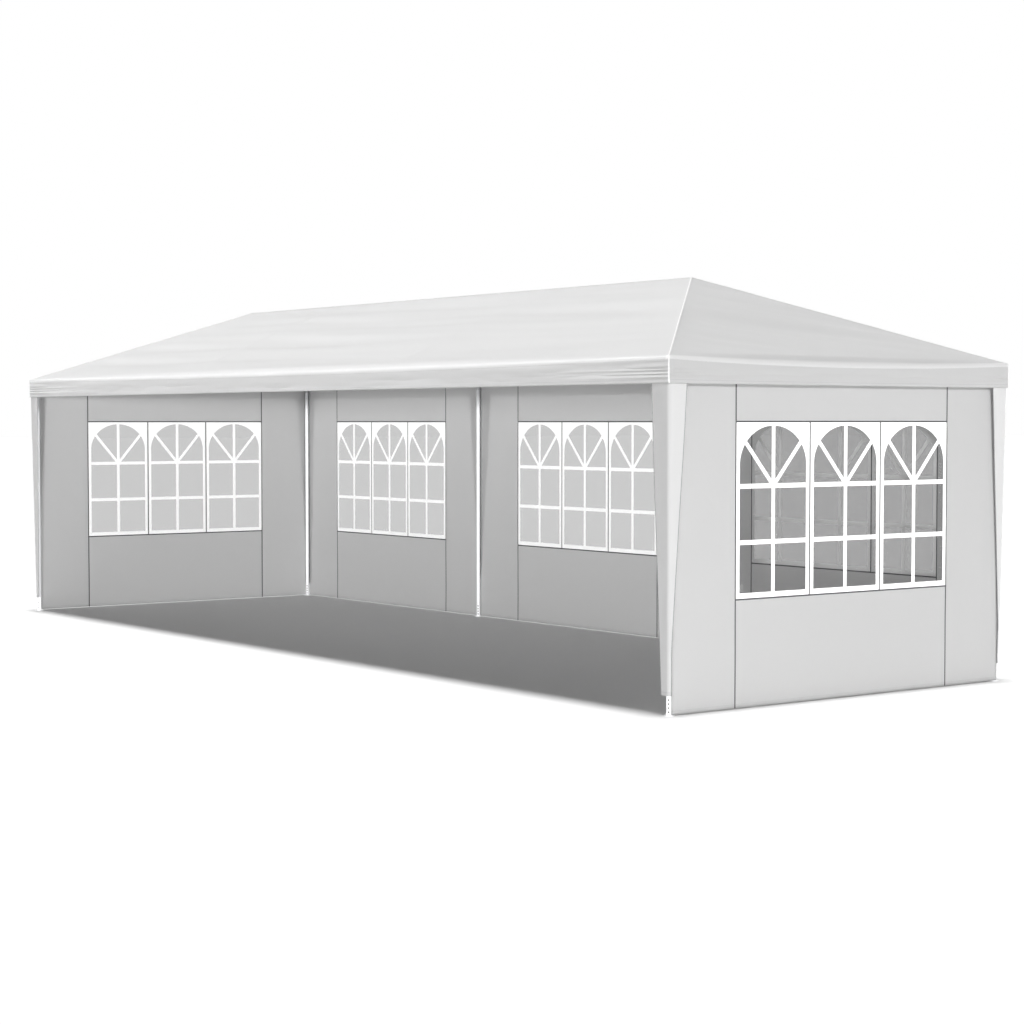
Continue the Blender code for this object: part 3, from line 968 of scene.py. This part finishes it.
def build_light(width, height, window):
    """One arched light's white frame, cut from a flat sheet with its panes taken out."""
    bm = bmesh.new()
    bmesh.ops.create_grid(bm, x_segments=1, y_segments=1, size=0.5)
    bmesh.ops.scale(bm, vec=(width, height, 1.0), verts=bm.verts)
    bmesh.ops.translate(bm, vec=(0, height / 2, 0), verts=bm.verts)
    bar, inner = window.bar / 2, width / 2 - window.border
    foot, low_bar, high_bar, spring, crown = light_rows(height)
    cuts = [((x, 0), (1, 0)) for x in (-inner, -bar, bar, inner)]
    cuts += [((0, y), (0, 1)) for y in (foot, low_bar - bar, low_bar + bar, high_bar - bar,
                                        high_bar + bar, spring)]
    for hand in (-1, 1):
        normal = Vector((math.sin(FAN_ANGLE), -hand * math.cos(FAN_ANGLE)))
        cuts += [(Vector((0, high_bar)) + normal * bar * FAN_BAR * shift, normal)
                 for shift in (-1, 1)]
    for number in range(1, window.arch_sides):
        angle = math.pi * number / window.arch_sides
        touch = (inner * math.cos(angle), spring + (crown - spring) * math.sin(angle))
        cuts.append((touch, (math.cos(angle) / inner, math.sin(angle) / (crown - spring))))
    for place, normal in cuts:
        bmesh.ops.bisect_plane(bm, geom=bm.verts[:] + bm.edges[:] + bm.faces[:], dist=1e-6,
                               plane_co=(*place, 0), plane_no=(*normal, 0))
    panes = [f for f in bm.faces if is_pane(*f.calc_center_median().xy, width, height, window)]
    bmesh.ops.delete(bm, geom=panes, context="FACES")
    bmesh.ops.dissolve_limit(bm, angle_limit=math.radians(0.5), verts=bm.verts, edges=bm.edges)
    return bm


def build_window(name, window):
    """A sheet of film in a wall's opening, and the white frames on both of its faces."""
    height = WINDOW_HIGH - WINDOW_LOW
    clear = lattice(even(-WINDOW_HALF, WINDOW_HALF, 0.1), even(WINDOW_LOW, WINDOW_HIGH, 0.1))
    lay_uv(clear, lambda point, face: (point.x, point.y))
    bmesh.ops.transform(clear, matrix=wall_matrix(name), verts=clear.verts)
    film = new_piece(f"film_{name}", clear, ("clear_film",))
    thicken(film, window.film, 0.0)
    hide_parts(f"window_{name}")

    last, gap = window.lights - 1, window.light_gap
    width = (2 * WINDOW_HALF - last * gap) / window.lights
    pattern = bpy.data.meshes.new("light_pattern")
    light = build_light(width, height, window)
    light.to_mesh(pattern)
    light.free()
    prints = bmesh.new()
    for face in (-1, 1):
        lift = face * (window.film / 2 + window.ink / 2 + 0.00005)
        for number in range(window.lights):
            shift = (number - last / 2) * (width + gap)
            before = set(prints.verts)
            prints.from_mesh(pattern)
            added = [v for v in prints.verts if v not in before]
            bmesh.ops.translate(prints, verts=added, vec=(shift, WINDOW_LOW, lift))
            if number:
                seam = bmesh.ops.create_grid(prints, x_segments=1, y_segments=1,
                                             size=0.5)["verts"]
                bmesh.ops.scale(prints, vec=(gap - 0.001, height, 1), verts=seam)
                bmesh.ops.translate(prints, verts=seam, vec=(shift - (width + gap) / 2,
                                                             WINDOW_LOW + height / 2, lift))
                # The strip between two lights takes the dark seam colour as well, a painted shade
                # line
                seam[0].link_faces[0].material_index = 1
    bpy.data.meshes.remove(pattern)
    bmesh.ops.transform(prints, matrix=wall_matrix(name), verts=prints.verts)
    frames = new_piece(f"window_frames_{name}", prints, ("window_frame_print", "seam_rib"))
    frames.data.shade_flat()
    thicken(frames, window.ink, 0.0)


def turned(profile, steps):
    """A solid turned round Z from (radius, height) points, closed where they meet the axis."""
    bm = bmesh.new()
    verts = [bm.verts.new((radius, 0, height)) for radius, height in profile]
    edges = [bm.edges.new(pair) for pair in zip(verts, verts[1:])]
    bmesh.ops.spin(bm, geom=verts + edges, cent=(0, 0, 0), axis=UP, angle=math.tau, steps=steps,
                   use_merge=True)
    bmesh.ops.remove_doubles(bm, verts=bm.verts, dist=1e-6)
    bmesh.ops.recalc_face_normals(bm, faces=bm.faces)
    return bm


def stand(bm, start, way):
    """Put a piece made up the Z axis at a start point, along a way."""
    matrix = Vector(way).to_track_quat("Z", "Y").to_matrix().to_4x4()
    matrix.translation = start
    bmesh.ops.transform(bm, matrix=matrix, verts=bm.verts)
    return bm


def build_tube(name, node, start, end, radius, steel):
    """A painted tube with slightly rounded ends, in place of a node's own."""
    start, span, edge = Vector(start), Vector(end) - Vector(start), steel.edge
    profile = [(0, 0), (radius - edge, 0), (radius, edge), (radius, span.length - edge),
               (radius - edge, span.length), (0, span.length)]
    tube = new_piece(name, stand(turned(profile, steel.sides), start, span),
                     ("painted_steel",), ROUND_EDGE)
    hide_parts(node)


def gather(pieces):
    """Join separate bmeshes into the first of them."""
    first, *others = pieces
    for other in others:
        mesh = bpy.data.meshes.new("gathered")
        other.to_mesh(mesh)
        other.free()
        first.from_mesh(mesh)
        bpy.data.meshes.remove(mesh)
    return first


def combine(piece, tools, operation):
    """Join bmeshes to a piece, or cut it with them, one by one and for good."""
    for tool in tools:
        mesh = bpy.data.meshes.new("tool")
        tool.to_mesh(mesh)
        tool.free()
        holder = bpy.data.objects.new("tool", mesh)
        bpy.context.scene.collection.objects.link(holder)
        modifier = piece.modifiers.new("cut", "BOOLEAN")
        modifier.operation = operation
        modifier.solver = "EXACT"
        modifier.object = holder
        ready = piece.evaluated_get(bpy.context.evaluated_depsgraph_get())
        finished = bpy.data.meshes.new_from_object(ready)
        piece.modifiers.clear()
        piece.data = finished
        bpy.data.objects.remove(holder)
        bpy.data.meshes.remove(mesh)
    piece.data.shade_smooth()
    piece.data.set_sharp_from_angle(angle=ROUND_EDGE)


def corner(side, depth):
    return Vector((side * FRAME_X, depth * FRAME_Y, RAIL_Z))


def mid_eave(side, depth):
    return Vector((side * MID_X, depth * FRAME_Y, RAIL_Z))


def peak(side):
    return Vector((side * PEAK_X, 0.0, RIDGE_Z))


def mid_ridge(side):
    return Vector((side * MID_X, 0.0, RIDGE_Z))


def build_foot(name, place, steel):
    """A round base plate, a collar and a stub tube with rows of holes through its wall."""
    plate, plate_top, rim = 0.035, 0.004, 0.0008
    collar, collar_top = LEG_SOCKET_RADIUS, 0.014
    weld, wall, height = 0.003, 0.0022, FOOT_TOP - GAP
    bore = LEG_RADIUS - wall
    body = turned([
        (0, 0), (plate - rim, 0), (plate, rim), (plate, plate_top - rim),
        (plate - rim, plate_top), (collar + weld, plate_top),
        (collar + rim, plate_top + rim), (collar, plate_top + weld),
        (collar, collar_top - rim), (collar - rim, collar_top), (LEG_RADIUS, collar_top),
        (LEG_RADIUS, height - rim), (LEG_RADIUS - rim, height), (bore, height),
        (bore, collar_top / 2), (0, collar_top / 2)], steel.sides)
    # The bore's faces take the near-black colour: bare steel with painted shade, so the holes
    # read dark
    for face in body.faces:
        centre = face.calc_center_median()
        inside = centre.xy.length < LEG_RADIUS - wall / 2 and centre.z > rim
        face.material_index = 1 if inside else 0
    foot = new_piece(f"base_{name}", stand(body, (place.x, place.y, 0), UP),
                     ("painted_steel", "tube_inside"), ROUND_EDGE)
    lowest, reach = 0.023, 3 * wall
    drills = []
    for number in range(steel.holes):
        for turn in range(4):
            rise = lowest + (number + 0.5 * (turn < 2)) * steel.hole_pitch
            way = Matrix.Rotation(math.radians(45 + 90 * turn), 3, "Z") @ Vector((1, 0, 0))
            drill = turned([(0, 0), (steel.hole_radius, 0), (steel.hole_radius, reach),
                            (0, reach)], 16)
            start = Vector((place.x, place.y, rise)) + way * (LEG_RADIUS - 2 * wall)
            drills.append(stand(drill, start, way))
    combine(foot, [gather(drills)], "DIFFERENCE")
    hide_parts(f"foot_{name}")


def socket_barrel(centre, way, tube_radius, radius, start, steel):
    """One socket of a fitting: a barrel with a rolled mouth, bored for its tube."""
    bore, reach, stop = tube_radius + GAP, SOCKET_REACH - start, TUBE_STOP - start
    rolled, edge = radius + LIP, 0.001
    profile = [(0, 0), (radius, 0), (radius, reach - MOUTH), (rolled, reach - ROLL),
               (rolled, reach - edge), (radius, reach), (bore, reach), (bore, stop), (0, stop)]
    return stand(turned(profile, steel.sides), centre + way * start, way)


def socket_screw(centre, way, radius):
    """A hexagon screw that stands out level from the side of a socket."""
    off = way.cross(UP)
    off = off.normalized() if off.length > 0.2 else Vector((1, 0, 0))
    along, seat, depth = 0.075, 0.0018, 0.006
    bm = bmesh.new()
    bmesh.ops.create_cone(bm, cap_ends=True, segments=6, radius1=0.0065, radius2=0.0058,
                          depth=depth)
    return stand(bm, centre + way * along + off * (radius + seat), off)


def build_fitting(name, centre, ways, steel, node=None):
    """Welded sockets that meet round a knuckle, or on a sleeve where there is no node."""
    sockets = []
    for way in ways:
        sizes = (LEG_RADIUS, LEG_SOCKET_RADIUS) if way == DOWN else (TUBE_RADIUS, SOCKET_RADIUS)
        sockets.append((way.normalized(), *sizes))
    if node:
        start = 0.0
        body = bmesh.new()
        bmesh.ops.create_uvsphere(body, u_segments=24, v_segments=16,
                                  radius=max(s[2] for s in sockets) + 0.0004)
        bmesh.ops.translate(body, vec=centre, verts=body.verts)
    else:
        start, end = TUBE_RADIUS + GAP, 2 * SOCKET_REACH
        bore, outer, rolled = TUBE_RADIUS + GAP / 2, SOCKET_RADIUS, SOCKET_RADIUS + LIP
        way = Vector((1, 0, 0))
        body = turned([(bore, 0), (rolled, 0), (rolled, ROLL), (outer, MOUTH),
                       (outer, end - MOUTH), (rolled, end - ROLL), (rolled, end), (bore, end),
                       (bore, 0)], steel.sides)
        body = stand(body, centre - way * SOCKET_REACH, way)
    fitting = new_piece(name, body, ("zinc_fitting",), ROUND_EDGE)
    barrels = [socket_barrel(centre, *socket, start, steel) for socket in sockets]
    screws = [socket_screw(centre, way, radius) for way, _, radius in sockets]
    combine(fitting, barrels + screws, "UNION")
    if node:
        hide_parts(node)


def frame_tube(name, node, start, end, steel):
    """A tube between two fittings, stopping inside their sockets."""
    stop = (end - start).normalized() * (TUBE_STOP + GAP)
    build_tube(name, node, start + stop, end - stop, TUBE_RADIUS, steel)


def build_roof_frame(steel):
    """Eave rails, ridge, rafters and the fittings that join them to the legs."""
    for depth_name, depth in DEPTHS.items():
        frame_tube(f"rail_{depth_name}", f"eave_rail_{depth_name}", corner(-1, depth),
                   corner(1, depth), steel)
        for side_name, side in SIDES.items():
            place, inward = f"{depth_name}_{side_name}", Vector((-side, 0, 0))
            centre = corner(side, depth)
            build_fitting(f"corner_fitting_{place}", centre,
                          [DOWN, inward, Vector((0, -depth, 0)), peak(side) - centre], steel,
                          f"corner_joint_{place}")
            frame_tube(f"hip_tube_{place}", f"hip_rafter_{place}", centre, peak(side), steel)
            centre = mid_eave(side, depth)
            ways = [mid_ridge(side) - centre] + ([DOWN] if depth > 0 else [])
            build_fitting(f"eave_sleeve_{place}", centre, ways, steel)
            frame_tube(f"rafter_tube_{place}", f"rafter_{place}", centre, mid_ridge(side), steel)
    frame_tube("ridge_tube", "ridge_pole", peak(-1), peak(1), steel)
    for side_name, side in SIDES.items():
        frame_tube(f"rail_{side_name}", f"eave_rail_{side_name}", corner(side, -1),
                   corner(side, 1), steel)
        centre = peak(side)
        build_fitting(f"peak_fitting_{side_name}", centre,
                      [Vector((-side, 0, 0)), corner(side, -1) - centre,
                       corner(side, 1) - centre], steel, f"peak_joint_{side_name}")
        centre = mid_ridge(side)
        build_fitting(f"ridge_sleeve_{side_name}", centre,
                      [mid_eave(side, -1) - centre, mid_eave(side, 1) - centre], steel)


def link_new(name, data):
    obj = bpy.data.objects.new(name, data)
    bpy.context.scene.collection.objects.link(obj)
    return obj


def build_floor(studio):
    """A plain pale floor."""
    bm = bmesh.new()
    bmesh.ops.create_grid(bm, x_segments=1, y_segments=1, size=studio.floor_size / 2)
    mesh = bpy.data.meshes.new("floor")
    bm.to_mesh(mesh)
    bm.free()
    floor = link_new("floor", mesh)
    material = bpy.data.materials.new("pale_floor")
    material.use_nodes = True
    tree = material.node_tree
    tree.nodes.remove(tree.nodes["Principled BSDF"])
    matt = add_node(tree, "ShaderNodeBsdfDiffuse")
    feed(tree, matt, Color=(0.75, 0.75, 0.75))
    feed(tree, tree.nodes["Material Output"], Surface=matt.outputs[0])
    mesh.materials.append(material)


def light_groups():
    """Collections of the meshes that each light reaches, told by their names."""
    far_pole = "pole_front_left"
    tests = {
        "floor_only": lambda name: name == "floor",
        "all_but_floor": lambda name: name != "floor",
        "all_but_floor_and_far_end":
            lambda name: name != "floor" and not name.endswith("_end_left"),
        "roof_only": lambda name: name.startswith(("roof_sheet", "hip_tape_")),
        "poles_and_bars":
            lambda name: name.startswith(("window_frames_", "pole_", "base_"))
            and name != far_pole,
        "far_walls":
            lambda name: name == far_pole
            or name.startswith("wall_panel_") and not name.endswith("end_right"),
    }
    groups = {}
    for label, reached in tests.items():
        groups[label] = bpy.data.collections.new(label)
        for obj in bpy.data.objects:
            if obj.type == "MESH" and reached(obj.name):
                groups[label].objects.link(obj)
    return groups


# Each sun's setting, the way that it shines from, its softness in degrees and its light group
SUNS = (
    ("floor_sun", (0, 0, 1), 8, "floor_only"),
    ("right_sun", (0.88, -0.20, 0.42), 10, "all_but_floor_and_far_end"),
    ("roof_sun", (-0.60, -0.30, 0.74), 20, "roof_only"),
    ("back_sun", (0, 0.99, 0.12), 25, "all_but_floor"),
    ("left_sun", (-0.99, 0, 0.12), 25, "all_but_floor"),
    ("frame_sun", (0.70, -0.71, 0.02), 3, "poles_and_bars"),
    ("inner_sun", (0.70, -0.71, 0.02), 3, "far_walls"),
)


def build_suns(studio):
    groups = light_groups()
    for name, way, softness, reached in SUNS:
        data = bpy.data.lights.new(name, "SUN")
        data.energy = getattr(studio, name)
        data.angle = math.radians(softness)
        sun = link_new(name, data)
        sun.rotation_mode = "QUATERNION"
        sun.rotation_quaternion = Vector(way).to_track_quat("Z", "Y")
        sun.light_linking.receiver_collection = groups[reached]


def build_world(studio):
    """White behind the tent, and a dimmer even light on it."""
    world = bpy.data.worlds.new("studio_white")
    bpy.context.scene.world = world
    world.use_nodes = True
    tree = world.node_tree
    light = tree.nodes["Background"]
    feed(tree, light, Color=(1, 1, 1), Strength=studio.sky)
    backdrop = add_node(tree, "ShaderNodeBackground")
    feed(tree, backdrop, Color=(1, 1, 1), Strength=1.0)
    seen = add_node(tree, "ShaderNodeLightPath").outputs["Is Camera Ray"]
    mix = add_node(tree, "ShaderNodeMixShader")
    for socket, value in zip(mix.inputs, (seen, light.outputs[0], backdrop.outputs[0])):
        tree.links.new(value, socket)
    feed(tree, tree.nodes["World Output"], Surface=mix.outputs[0])


def build_camera(studio):
    data = bpy.data.cameras.new("camera")
    data.lens = studio.lens
    data.sensor_width = 36.0
    data.clip_end = 1000.0
    camera = link_new("camera", data)
    level = math.cos(studio.elevation)
    back = Vector((math.sin(studio.azimuth) * level, -math.cos(studio.azimuth) * level,
                   math.sin(studio.elevation)))
    camera.location = Vector(studio.target) + back * studio.distance
    camera.rotation_mode = "QUATERNION"
    camera.rotation_quaternion = back.to_track_quat("Z", "Y")
    bpy.context.scene.camera = camera


class TENT_OT_make_roof(Operator):
    """Roof sheet with its valance, and the tape down each hip"""

    bl_idname = "tent.make_roof"
    bl_label = "Make Roof Sheet"

    def execute(self, context):
        cloth = context.scene.tent_cloth
        roof = build_roof(cloth)
        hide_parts("canopy")
        tapes = [build_hip_tape(depth, side, cloth) for side in SIDES for depth in DEPTHS]
        return {"FINISHED"}


class TENT_OT_make_leg_covers(Operator):
    """Flaps of the roof sheet that hang down the legs"""

    bl_idname = "tent.make_leg_covers"
    bl_label = "Make Leg Covers"

    def execute(self, context):
        cloth = context.scene.tent_cloth
        for side_name in SIDES:
            for depth_name in DEPTHS:
                build_corner_flap(depth_name, side_name, cloth)
            build_mid_flap(side_name, cloth)
        return {"FINISHED"}


class TENT_OT_make_walls(Operator):
    """Wall panels with their seams and the straps that hang them"""

    bl_idname = "tent.make_walls"
    bl_label = "Make Wall Panels"

    def execute(self, context):
        for name in WALL_NAMES:
            build_wall(name, context.scene.tent_cloth)
        return {"FINISHED"}


class TENT_OT_make_windows(Operator):
    """Film windows with three arched white frames each"""

    bl_idname = "tent.make_windows"
    bl_label = "Make Windows"

    def execute(self, context):
        for name in WALL_NAMES:
            build_window(name, context.scene.tent_window)
        return {"FINISHED"}


class TENT_OT_make_poles(Operator):
    """Legs and their perforated feet"""

    bl_idname = "tent.make_poles"
    bl_label = "Make Poles and Feet"

    def execute(self, context):
        steel = context.scene.tent_steel
        legs = {f"{d}_{s}": corner(SIDES[s], DEPTHS[d]) for d in DEPTHS for s in SIDES}
        legs.update({f"back_mid_{s}": mid_eave(SIDES[s], 1) for s in SIDES})
        for name, top in legs.items():
            build_tube(f"pole_{name}", f"leg_{name}", (top.x, top.y, FOOT_TOP),
                       (top.x, top.y, LEG_TOP), LEG_RADIUS, steel)
            build_foot(name, top, steel)
        return {"FINISHED"}


class TENT_OT_make_roof_frame(Operator):
    """Rails, ridge, rafters and the fittings between them"""

    bl_idname = "tent.make_roof_frame"
    bl_label = "Make Roof Frame"

    def execute(self, context):
        build_roof_frame(context.scene.tent_steel)
        return {"FINISHED"}


class TENT_OT_make_studio(Operator):
    """Floor, lights, white backdrop and camera"""

    bl_idname = "tent.make_studio"
    bl_label = "Make Studio"

    def execute(self, context):
        studio = context.scene.tent_studio
        build_floor(studio)
        build_suns(studio)
        build_world(studio)
        build_camera(studio)
        view = context.scene.view_settings
        view.view_transform = "Standard"
        view.look = "None"
        view.exposure = 0.0
        view.gamma = 1.0
        return {"FINISHED"}


class TENT_PT_marquee(Panel):
    """The tent's steps, in the order that builds it"""

    bl_idname = "TENT_PT_marquee"
    bl_label = "Marquee Tent"
    bl_space_type = "VIEW_3D"
    bl_region_type = "UI"
    bl_category = "Tent"

    def draw(self, context):
        for step in STEPS:
            self.layout.operator(step.bl_idname)


STEPS = (TENT_OT_make_roof, TENT_OT_make_leg_covers, TENT_OT_make_walls, TENT_OT_make_windows,
         TENT_OT_make_poles, TENT_OT_make_roof_frame, TENT_OT_make_studio)
SETTINGS = {"tent_cloth": TentCloth, "tent_window": TentWindow, "tent_steel": TentSteel,
            "tent_finish": TentFinish, "tent_studio": TentStudio}


def register():
    for name, group in SETTINGS.items():
        bpy.utils.register_class(group)
        setattr(bpy.types.Scene, name, PointerProperty(type=group))
    for step in (*STEPS, TENT_PT_marquee):
        bpy.utils.register_class(step)


def unregister():
    for step in reversed((*STEPS, TENT_PT_marquee)):
        bpy.utils.unregister_class(step)
    for name, group in reversed(SETTINGS.items()):
        delattr(bpy.types.Scene, name)
        bpy.utils.unregister_class(group)


def main():
    register()
    bpy.ops.tent.make_roof()
    bpy.ops.tent.make_leg_covers()
    bpy.ops.tent.make_walls()
    bpy.ops.tent.make_windows()
    bpy.ops.tent.make_poles()
    bpy.ops.tent.make_roof_frame()
    bpy.ops.tent.make_studio()


if __name__ == "__main__":
    main()
